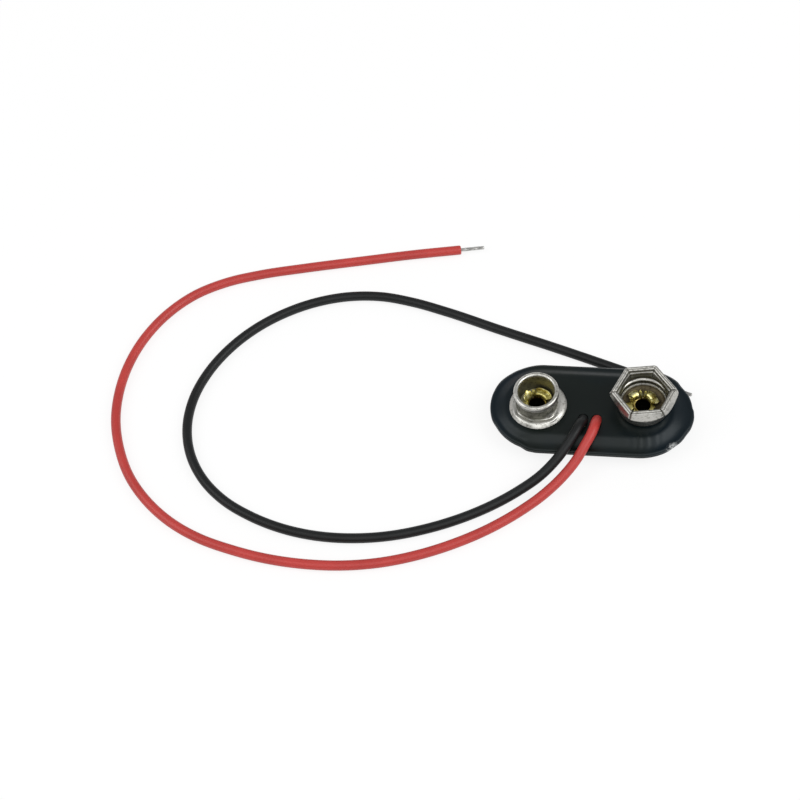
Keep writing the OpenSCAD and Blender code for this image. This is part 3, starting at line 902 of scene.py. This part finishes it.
def turned(profile, centre, sides, radius=None):
    """A closed profile of (r, z) points carried round an axis: (r cos a, r sin a, z). radius may
    give another r for each profile point and angle."""
    a = full_turn(sides)
    r = profile[:, :1] + 0 * a if radius is None else radius(profile, a)
    z = profile[:, 1:2] + centre[2] + 0 * a
    grid = np.stack([*around(centre, r, a), z], axis=-1)
    return grid, [grid_faces(len(profile), sides, wrap_rows=True, wrap_cols=True)]


def filled(profile, step):
    """The profile with extra points along its long straight stretches."""
    ring = np.concatenate([profile, profile[:1]])
    pieces = []
    for p, q in zip(ring[:-1], ring[1:]):
        n = max(int(np.linalg.norm(q - p) / step), 1)
        pieces.append(p + (q - p) * np.arange(n)[:, None] / n)
    return np.concatenate(pieces)


def stud_profile():
    """Section of the stud above its seat: domed flange, fillet, neck, lip and bore. The dome
    falls from 0.44 to 0.05 as the power 2.2 of the way out, so it is steepest at its edge."""
    t = np.linspace(1, 0, 18)[:, None]
    dome = np.hstack([2.72 + 0.76 * t, 0.44 - 0.39 * t**2.2])
    return filled(np.concatenate([
        [[HOLE_R, 0.0], [3.3, 0.0], [3.44, 0.01]],
        dome,
        arc_points((2.58, 0.62), 0.18, 270, 180, 7),
        arc_points((2.22, 2.2), 0.16, 0, 30, 4),
        arc_points((2.44, 2.52), 0.28, -72, 0, 8),
        arc_points((2.44, 2.82), 0.28, 0, 180, 22),
        arc_points((2.0, 0.41), 0.16, 0, -90, 8),
        [[HOLE_R, 0.25]]]), 0.1)


# Where the drawing tool puckered the foot of the neck: angle, width in degrees and depth
NECK_PUCKERS = [(-46, 19, 0.3), (-140, 9, 0.14), (-100, 7, 0.06), (20, 10, 0.08)]


def uneven_stud(profile, a):
    """The flange's edge drifts in and out, and the neck is puckered outwards at its foot. A
    pucker is depth exp(-((z - 0.55) / 0.4)^2) exp(-((a - angle) / width)^2)."""
    r, z = profile[:, :1], profile[:, 1:]
    out = eased((r - 2.9) / 0.5)
    drift = (0.1 * np.cos(a + 0.7) + 0.06 * np.cos(a) * (1 - np.cos(a)) + 0.03 * np.sin(a)
             + 0.03 * np.sin(2 * a + 0.8) + 0.015 * np.sin(5 * a + 2))
    foot = hump(z, 0.55, 0.4) * (r > 2.35) * (1 - out)
    for angle, width, depth in NECK_PUCKERS:
        off = (np.degrees(a) - angle + 180) % 360 - 180
        r = r + foot * depth * hump(off, 0, width)
    return r + out * drift + (1 - out) * 0.008 * np.sin(2 * a)


make_piece("round_stud", [turned(stud_profile(), STUD_SEAT, sides=176, radius=uneven_stud)],
           stud_nickel, "stud_contact", sharp=50)

# %% [markdown]
# ## Thin sheet with round edges
#
# The socket's leaves and the eyelets' petals are bits of thin sheet, bent and cut. Each is worked
# out as a grid that lies in the middle of the sheet, and gets its thickness afterwards. Towards
# every border the half thickness falls as a quarter circle, so the cut edges come out round and
# the two faces meet there in the same points.

# %% Sheet helpers
def towards_edges(length, thick, count):
    """Distances from 0 to length, packed at both ends so that a round edge has enough rows."""
    r = thick / 2
    lead = r * (1 - np.cos(np.radians([0, 25, 45, 65, 90])))
    middle = np.linspace(r, length - r, count)[1:-1]
    return np.concatenate([lead, middle, length - lead[::-1]])


def round_edge(distance, thick):
    """Share of the half thickness at a distance from a cut edge: sqrt(1 - (1 - d / r)^2)."""
    left = np.clip(distance / (thick / 2), 0, 1)
    return np.sqrt(1 - (1 - left) ** 2)


def sheet_solid(middle, half):
    """A closed sheet about a grid: both faces lie half away from it along its normal, and share
    the grid's border, where half is zero."""
    rows, cols = half.shape
    normal = unit(np.cross(np.gradient(middle, axis=1), np.gradient(middle, axis=0)))
    upper = (middle + half[..., None] * normal).reshape(-1, 3)
    lower = (middle - half[..., None] * normal)[1:-1, 1:-1].reshape(-1, 3)
    index = np.arange(rows * cols).reshape(rows, cols)
    under = index.copy()
    under[1:-1, 1:-1] = rows * cols + index.ravel()[:(rows - 2) * (cols - 2)].reshape(rows - 2, -1)
    top = grid_faces(rows, cols)
    return np.concatenate([upper, lower]), [top, under.ravel()[top][:, ::-1]]


# %% [markdown]
# ## The socket
#
# The socket is a drawn cup whose upper wall is slit into six leaves, which stand as a hexagon. Each
# leaf is folded over at the top into a flat hem, and its outer flap hangs down and ends in a round
# edge. The walls belly inwards to grip a battery's round terminal, with a crease under the hem. The
# six folds aren't alike: they gape and reach down differently, and that is what the photo's glints
# show.

# %% Cup of the socket
def cup_profile():
    """Section of the cup above its seat: a dished floor with a small step round it,
    wall and the ledge under the leaves."""
    return filled(np.concatenate([
        [[HOLE_R, 0.0]],
        arc_points((2.75, 0.25), 0.25, -90, 0, 7),
        [[3.0, 1.02], [3.04, 1.16]],
        arc_points((3.11, 1.46), 0.14, -40, 90, 9),
        [[3.07, 1.5], [3.02, 1.42], [2.94, 1.37], [2.86, 1.31], [2.81, 1.23], [2.79, 0.9],
         [2.77, 0.81]],
        arc_points((2.71, 0.74), 0.05, 60, 130, 5),
        [[2.6, 0.6], [2.42, 0.43], [2.2, 0.33], [1.9, 0.27]],
        [[HOLE_R, 0.25]]]), 0.1)


# %% [markdown]
# A leaf lies between two corners of the hexagon. Down its middle it follows a path: up the wall,
# over the fold and down the flap. Across it, a point at distance a from the axis lies at
#
# a (1 - w + w L / a_out)
#
# where L is the distance of the straight line between the two corners and a_out the least of it.
# The share w grows from 0 at the foot to 1 at the fold, which turns the round cup into a hexagon.

# %% One leaf, and the six of them
LEAF_T, LEAF_FOOT, FOOT_R = 0.2, 1.5, 3.13
HEM_W, HEM_Z, HEM_DIP, FOLD_R = 0.62, 3.45, 0.09, 0.1
BELLY, CREASE_Z, CREASE_D, CREASE_W = 0.3, 2.9, 0.14, 0.14
FLARE, FLAP_CORNER, FLAP_LEAST, GAP = 0.2, 0.42, 0.25, 0.05
CORNER_R = 3.93
CORNERS = [5.6, 71.2, 125.9, 186.1, 248.1, 309.1, 365.6]


def leaf_path(a_out, gape, rows):
    """Distances from the axis and heights along the middle of a leaf: a wall with its belly and
    a crease at CREASE_Z, the fold, and a flap whose height counts from 0 at the fold to 1 at its
    end. Gives also the rows of the wall and of the flap."""
    low = HEM_Z - LEAF_T / 2 - FOLD_R
    inside, outside = a_out - HEM_W + LEAF_T / 2 - gape / 2, a_out - LEAF_T / 2 + gape / 2
    wall = towards_edges(low - LEAF_FOOT, LEAF_T, rows)[:-5]
    s = wall / wall[-1]
    belly = BELLY * np.sin(np.pi * s**0.9) ** 2
    crease = CREASE_D * hump(LEAF_FOOT + wall, CREASE_Z, CREASE_W)
    wall_a = FOOT_R + (inside - FOOT_R) * s - belly - crease
    rise = np.radians(np.linspace(12, 90, 7))
    dip = np.linspace(0, 1, 8)[1:-1]
    fold_a = np.concatenate([inside + FOLD_R * (1 - np.cos(rise)),
                             inside + FOLD_R + (outside - inside - 2 * FOLD_R) * dip,
                             outside - FOLD_R * (1 - np.cos(rise[::-1]))])
    bend_z = FOLD_R * np.sin(rise)
    hem_z = FOLD_R - HEM_DIP * np.sin(np.pi * dip) ** 2
    fold_z = low + np.concatenate([bend_z, hem_z, bend_z[::-1]])
    hang = towards_edges(1.0, LEAF_T / 1.5, 14)[5:]
    a = np.concatenate([wall_a, fold_a, outside + (FLARE + gape) * hang**1.3])
    z = np.concatenate([LEAF_FOOT + wall, fold_z, np.full(len(hang), low)])
    return a, z, wall, hang


def leaf_part(number, gape, drop, shift, slit):
    """One leaf: its path carried from corner to corner, with a flap that hangs lowest near the
    middle. slit widens the gap to its neighbours at the top."""
    first, last = np.radians(CORNERS[number:number + 2])
    a_out = CORNER_R * np.cos((last - first) / 2)
    width = 2 * CORNER_R * np.sin((last - first) / 2)
    a, z, wall, hang = leaf_path(a_out, gape, 44)
    t = (towards_edges(width, LEAF_T, 25) / width * 2 - 1)[None]
    reach = drop - (drop - FLAP_CORNER) * np.abs(t[0] + shift) ** 2.3
    reach = np.maximum(reach, FLAP_LEAST)
    grid_z = np.repeat(z[:, None], t.shape[1], axis=1)
    grid_z[-len(hang):] -= hang[:, None] * reach
    up = np.clip((grid_z - LEAF_FOOT) / (HEM_Z - 0.3 - LEAF_FOOT), 0, 1)
    up[len(wall):] = 1
    across = t * (1 - (GAP + slit * up) / (width / 2))
    ends = np.stack(around((0, 0), CORNER_R, np.array([first, last])), axis=1)
    chord = ends[0] + (ends[1] - ends[0]) * (across[..., None] + 1) / 2
    far = np.linalg.norm(chord, axis=-1)
    reach_out = a[:, None] * (1 - up**1.5 + up**1.5 * far / a_out)
    xy = SOCKET_SEAT[:2] + chord / far[..., None] * reach_out[..., None]
    half = np.repeat(round_edge((1 - np.abs(t)) * width / 2, LEAF_T), len(a), axis=0)
    half[:len(wall)] *= round_edge(wall, LEAF_T)[:, None]
    half[-len(hang):] *= round_edge((1 - hang[:, None]) * reach, LEAF_T)
    middle = np.concatenate([xy, (SOCKET_SEAT[2] + grid_z)[..., None]], axis=-1)
    return sheet_solid(middle, half * LEAF_T / 2)


LEAF_HABITS = [
    # gape of the fold, length of the flap, where it hangs lowest, slit at the top
    (0.0, 1.3, 0.05, -0.03), (0.0, 1.4, -0.08, -0.035), (0.0, 1.4, 0.1, -0.025),
    (0.0, 0.85, 0.0, 0.02), (0.04, 1.18, 0.06, 0.09), (0.02, 1.3, -0.05, -0.01)]
socket_parts = [turned(cup_profile(), SOCKET_SEAT, sides=144)]
socket_parts += [leaf_part(i, *habit) for i, habit in enumerate(LEAF_HABITS)]
make_piece("leaf_socket", socket_parts, socket_nickel, "socket_contact", sharp=50)

# %% [markdown]
# ## The eyelets
#
# A brass eyelet goes through each contact. Its head is inside the cover. At the battery side the
# end of its barrel was split by the riveting tool into petals and rolled outwards. No two petals
# are alike: they tear at their tips, turn over at their edges, and one of the stud's stands up.

# %% Brass finish
def brass_finish():
    """Bare brass, browned by handling in patches and bright where the tool rubbed it. Down in
    the barrel, below the roll, painted shade turns it brown and then nearly black."""
    finish, tree, shader = new_finish("eyelet brass", (0.72, 0.58, 0.22), 0.25, 0.93)
    where = coordinates(tree)
    patches = noise(tree, where, 1700, detail=5, roughness=0.65)
    tone = ramp(tree, patches, [(0.38, (0.26, 0.2, 0.05)), (0.5, (0.6, 0.52, 0.16)),
                                (0.62, (0.9, 0.87, 0.5))])
    # painted shade by depth: brown half way down the barrel and nearly black at its bottom
    dark_z, bright_z = (CLINCH_Z - 0.5) * MM, (CLINCH_Z + 0.1) * MM
    depth = remap(tree, split(tree, where)["Z"], 0.0, 1.0, dark_z, bright_z)
    shade = ramp(tree, depth, [(0.0, (0.08, 0.075, 0.07)), (0.6, (0.5, 0.22, 0.08)), (1.0, UNDARKENED)])
    paint(tree, shader, vectors(tree, "MULTIPLY", tone, shade), remap(tree, patches, 0.42, 0.2))
    bump(tree, shader, noise(tree, where, 1900, detail=4), 0.6, 0.00006)
    return finish


BARREL_IN, BARREL_OUT = 1.01, 1.25
PETAL_T, PETAL_R, PETAL_ROOT = 0.18, 1.07, 0.12
CLINCH_Z = SEAT_Z + 0.25
brass = brass_finish()


# %% [markdown]
# A petal starts as a strip of the barrel's wall. Its middle line leaves the barrel upwards and
# then turns outwards: each bend is a length and a turn in degrees, and the line is the sum of
# short steps, each (sin h, cos h) for the heading h that it has there. Across it the petal keeps
# to the round of the barrel, so its width is given in degrees, at the root and at the tip. Its tip
# is torn: the line is cut short by a sum of sines. It starts PETAL_ROOT below the clinch, inside
# the barrel's wall.

# %% Barrel and petals
def barrel_profile():
    """Section of the head and barrel: a flat head with a round rim, then the straight barrel,
    which narrows a little under the roll."""
    return filled(np.concatenate([
        arc_points((BARREL_IN + 0.15, 0.65), 0.15, 180, 270, 6),
        arc_points((2.45, 0.65), 0.15, -90, 90, 9),
        arc_points((BARREL_OUT + 0.1, 0.9), 0.1, 270, 180, 5),
        [[BARREL_OUT, CLINCH_Z - 0.3]],
        arc_points((1.08, CLINCH_Z - 0.08), 0.12, 0, 180, 9),
        [[BARREL_IN, CLINCH_Z - 0.4]]]), 0.14)


def petal_part(centre, aside, angle, root, tip, bends, tear, seed):
    """A petal as a bent sheet, root and tip degrees wide, with a torn tip. aside is how far the
    tool stood off the axis when it rolled the petals, in x and y."""
    draw = np.random.default_rng(seed)
    marks, turns = np.cumsum([(0, 0), *bends], axis=0).T
    length = marks[-1]
    fine = np.linspace(0, length, 400)
    heading = np.interp(fine, marks, np.radians(turns))
    out, rise = [np.concatenate([[0], np.cumsum(part(heading))[:-1]]) * fine[1]
                 for part in (np.sin, np.cos)]
    width = math.radians(tip) * 1.7
    rows = towards_edges(length, PETAL_T, 30) / length
    t = towards_edges(width, PETAL_T, 26) / width * 2 - 1
    wave = sum(draw.uniform(0.3, 1) / k**0.5 * np.sin(t * k * 2.9 + draw.uniform(0, 6.3))
               for k in (1, 2, 3, 6))
    ragged = 1 - tear * (0.5 + 0.3 * wave) - 0.18 * np.abs(t) ** 5
    s = rows[:, None] * ragged * length
    side = draw.uniform(-3, 3) * rows + 2.5 * np.sin(rows * 8 + draw.uniform(0, 6.3)) * rows
    a = np.radians(angle + side[:, None] + t * (root + (tip - root) * rows[:, None] ** 0.8) / 2)
    r = PETAL_R + aside[0] * np.cos(a) + aside[1] * np.sin(a) + np.interp(s, fine, out)
    z = CLINCH_Z - PETAL_ROOT + np.interp(s, fine, rise)
    z += (t**2 * draw.uniform(-0.06, 0.05) + t * draw.uniform(-0.05, 0.05)) * rows[:, None]
    half = round_edge((1 - rows) * length, PETAL_T) * round_edge(rows * length, PETAL_T)
    half = half[:, None] * round_edge((1 - np.abs(t)) * width / 2, PETAL_T)
    middle = np.stack([*around(centre, r, a), z], axis=-1)
    return sheet_solid(middle, half * PETAL_T / 2)


def eyelet(name, centre, aside, petals, node):
    """The head and barrel with their petals, as one piece."""
    base = np.array([*centre[:2], 0.0])
    parts = [turned(barrel_profile(), base, sides=72)]
    parts += [petal_part(base, aside, *petal, seed=i + len(name)) for i, petal in enumerate(petals)]
    make_piece(name, parts, brass, node, sharp=60)


FLAT = [(0.2, 0), (0.3, 88), (0.42, 0)]
LOW = [(0.16, 0), (0.3, 95), (0.25, 12)]
LONG = [(0.28, 0), (0.4, 90), (0.6, 4), (0.2, -30)]
FAR = [(0.26, 0), (0.4, 86), (0.8, 6), (0.15, -20)]
LOBE = [(0.28, 0), (1.1, 125), (0.3, 35)]
SPIKE = [(0.3, 0), (0.4, 35), (0.7, 15)]
STANDING = [(0.3, 0), (0.4, 42), (0.65, 8), (0.25, 30)]
UPTURNED = [(0.24, 0), (0.34, 86), (0.4, 6), (0.16, -88), (0.3, 0)]
STUD_PETALS = [
    # angle, degrees wide at the root and at the tip, bends, tear
    (58, 84, 80, UPTURNED, 0.05), (109, 26, 18, SPIKE, 0.3), (152, 60, 62, STANDING, 0.3),
    (203, 46, 42, FAR, 0.25), (246, 44, 38, LONG, 0.3), (292, 46, 36, LOW, 0.3),
    (338, 46, 38, FLAT, 0.3)]
SOCKET_PETALS = [
    (50, 44, 46, LOBE, 0.1), (14, 28, 32, LONG, 0.12), (84, 20, 11, SPIKE, 0.15),
    (107, 20, 10, SPIKE, 0.2), (139, 38, 40, LOBE, 0.12), (170, 22, 16, SPIKE, 0.35),
    (197, 40, 40, LONG, 0.25), (243, 46, 42, FLAT, 0.3), (289, 46, 40, FLAT, 0.3),
    (330, 38, 36, FLAT, 0.3), (358, 18, 15, SPIKE, 0.3)]
eyelet("stud_rivet", STUD_AT, (0.05, 0.0), STUD_PETALS, "stud_eyelet")
eyelet("socket_rivet", SOCKET_AT, (-0.2, -0.12), SOCKET_PETALS, "socket_eyelet")

# %% [markdown]
# ## Floor and light
#
# The photo was taken on white. The floor is white by its own colour, and part of what the camera
# and the mirrors see of it is a plain white that no lamp adds to, so it keeps a faint shadow. Metal
# needs something to mirror, so the light is soft but not even: a wide lamp high over the camera,
# two weaker ones to the right and to the left, and a very weak one low behind, which leaves the
# flat vinyl dark.

# %% Floor and backdrop
def floor_finish():
    """White paint, mixed with plain white light for rays from the camera and from mirrors."""
    finish, tree, shader = new_finish("white floor", (0.86, 0.86, 0.86), 0.7)
    path = add_node(tree, "ShaderNodeLightPath").outputs
    seen = maths(tree, "MAXIMUM", path["Is Camera Ray"], path["Is Glossy Ray"])
    white = add_node(tree, "ShaderNodeEmission", {"Strength": FLOOR_GLOW})
    show_either(tree, maths(tree, "MULTIPLY", seen, GLOW_SHARE), shader, white, "Material Output")
    return finish


def show_either(tree, share, first, second, output):
    """Mixes two shaders by a share and links the mix to the tree's output."""
    inputs = {0: share, 1: first.outputs[0], 2: second.outputs[0]}
    mix = add_node(tree, "ShaderNodeMixShader", inputs)
    tree.links.new(mix.outputs[0], tree.nodes[output].inputs["Surface"])


FLOOR_GLOW, GLOW_SHARE = 1.05, 0.8
REACH, DROP = 1.5, 0.0001
floor_mesh = bpy.data.meshes.new("floor")
corners = [(-REACH, -REACH, 0), (REACH, -REACH, 0), (REACH, REACH, 0), (-REACH, REACH, 0)]
floor_mesh.from_pydata(corners, [], [(0, 1, 2, 3)])
floor_mesh.materials.append(floor_finish())
floor = bpy.data.objects.new("floor", floor_mesh)
floor.location = (0, 0, -DROP)
bpy.context.scene.collection.objects.link(floor)

world = bpy.data.worlds.new("studio")
world.use_nodes = True
bpy.context.scene.world = world
sky = world.node_tree
soft = sky.nodes["Background"]
soft.inputs["Color"].default_value = (1, 1, 1, 1)
soft.inputs["Strength"].default_value = 0.4
plain = add_node(sky, "ShaderNodeBackground", {"Strength": 1.0})
ray = add_node(sky, "ShaderNodeLightPath").outputs["Is Camera Ray"]
show_either(sky, ray, soft, plain, "World Output")


# %% Lamps
def softbox(name, azimuth, elevation, distance, width, height, watts):
    """A flat lamp that faces the snap from a direction given in degrees."""
    lamp = bpy.data.lights.new(name, "AREA")
    lamp.shape = "RECTANGLE"
    lamp.size, lamp.size_y = width, height
    lamp.energy = watts
    axes = camera_axes(azimuth, elevation, 0)
    placed(name, lamp, axes, axes[2] * distance)
    print(name, watts, "W at", distance, "m")


# azimuth, elevation, distance, width, height and watts
for name, *lamp in (("front lamp", 31, 60, 0.8, 1.0, 0.7, 2.4),
                    ("right lamp", 84, 42, 0.6, 0.35, 0.35, 1.0),
                    ("left lamp", -80, 45, 0.6, 0.4, 0.4, 0.9),
                    ("back lamp", -150, 18, 0.6, 0.3, 0.2, 0.1)):
    softbox(name, *lamp)
bpy.context.scene.view_settings.view_transform = "Standard"

# %% [markdown]
# ## The end
#

# %% End
print("scene built")
